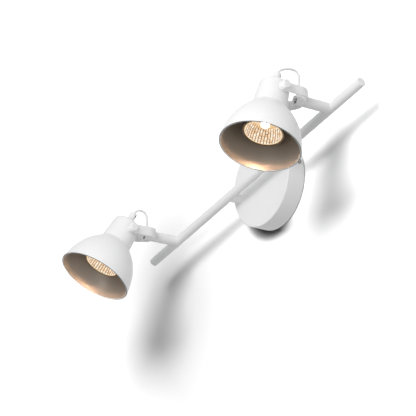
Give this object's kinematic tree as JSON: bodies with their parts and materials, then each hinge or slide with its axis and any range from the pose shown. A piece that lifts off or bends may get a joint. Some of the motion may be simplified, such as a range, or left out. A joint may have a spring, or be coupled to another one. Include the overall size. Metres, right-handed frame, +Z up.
{
  "type": "adjustable spotlight wall light",
  "caption": "Wall light: a round canopy holds a straight bar on posts, and short arms carry domed shades that swivel and tilt in bent strap yokes.",
  "frame": {"origin": "centre of the canopy on the wall plane, at the back face of the wall bracket", "axes": "+X along the bar, +Y into the wall, so the room is on the -Y side, and +Z up"},
  "size_m": [0.4781, 0.2135, 0.153],
  "materials": {
    "white_coat": "white powder coat, satin",
    "zinc_steel": "zinc plated steel",
    "nickel": "nickel plated",
    "brass": "plain brass",
    "white_plastic": "moulded",
    "nylon": "natural nylon",
    "white_pvc": "round white sheathed cable",
    "ceramic": "white glazed steatite",
    "reflector_glass": "pressed glass with a faceted reflecting coat",
    "clear_glass": "clear"
  },
  "bodies": {
    "wall_frame": {"wall_bracket": "zinc_steel", "canopy_shell": "white_coat", "canopy_side_screws": "nickel", "bar_post_left": "white_coat", "bar_post_right": "white_coat", "post_nuts": "zinc_steel", "post_washers": "zinc_steel", "terminal_block": "white_plastic", "terminal_screws": "brass", "earth_screw": "brass", "bar_tube": "white_coat", "bar_end_plug_left": "white_coat", "bar_end_plug_right": "white_coat", "arm_left": "white_coat", "arm_right": "white_coat", "swivel_washer_left": "nylon", "swivel_washer_right": "nylon"},
    "yoke_left": {"yoke_strap_left": "white_coat", "swivel_barrel_left": "white_coat", "swivel_nipple_left": "zinc_steel", "cable_loop_left": "white_pvc"},
    "head_left": {"shade_left": "white_coat", "pivot_bushes_left": "zinc_steel", "pivot_washers_left": "nylon", "pivot_knobs_left": "white_coat", "cable_grip_left": "white_coat", "grip_screw_left": "nickel", "holder_nipple_left": "zinc_steel", "holder_nut_left": "zinc_steel", "holder_plate_left": "zinc_steel", "lampholder_left": "ceramic", "holder_screws_left": "zinc_steel", "lamp_base_left": "ceramic", "lamp_pins_left": "nickel", "lamp_reflector_left": "reflector_glass", "lamp_front_glass_left": "clear_glass", "lamp_capsule_left": "clear_glass"},
    "yoke_right": {"yoke_strap_right": "white_coat", "swivel_barrel_right": "white_coat", "swivel_nipple_right": "zinc_steel", "cable_loop_right": "white_pvc"},
    "head_right": {"shade_right": "white_coat", "pivot_bushes_right": "zinc_steel", "pivot_washers_right": "nylon", "pivot_knobs_right": "white_coat", "cable_grip_right": "white_coat", "grip_screw_right": "nickel", "holder_nipple_right": "zinc_steel", "holder_nut_right": "zinc_steel", "holder_plate_right": "zinc_steel", "lampholder_right": "ceramic", "holder_screws_right": "zinc_steel", "lamp_base_right": "ceramic", "lamp_pins_right": "nickel", "lamp_reflector_right": "reflector_glass", "lamp_front_glass_right": "clear_glass", "lamp_capsule_right": "clear_glass"}
  },
  "joints": [
    {"name": "swivel_left", "type": "hinge", "parent": "wall_frame", "child": "yoke_left", "pos_m": [-0.1735, -0.085, 0], "axis": [0, 1, 0], "range_deg": [-178.7, 141.3]},
    {"name": "swivel_right", "type": "hinge", "parent": "wall_frame", "child": "yoke_right", "pos_m": [0.1735, -0.085, 0], "axis": [0, 1, 0], "range_deg": [-168.5, 151.5]},
    {"name": "tilt_left", "type": "hinge", "parent": "yoke_left", "child": "head_left", "pos_m": [-0.1735, -0.131, 0], "axis": [0.9472, 0, -0.3206], "range_deg": [-35.3, 49.7], "deforming": ["cable_loop_left"]},
    {"name": "tilt_right", "type": "hinge", "parent": "yoke_right", "child": "head_right", "pos_m": [0.1735, -0.131, 0], "axis": [0.989, 0, -0.1478], "range_deg": [-47, 38], "deforming": ["cable_loop_right"]}
  ]
}
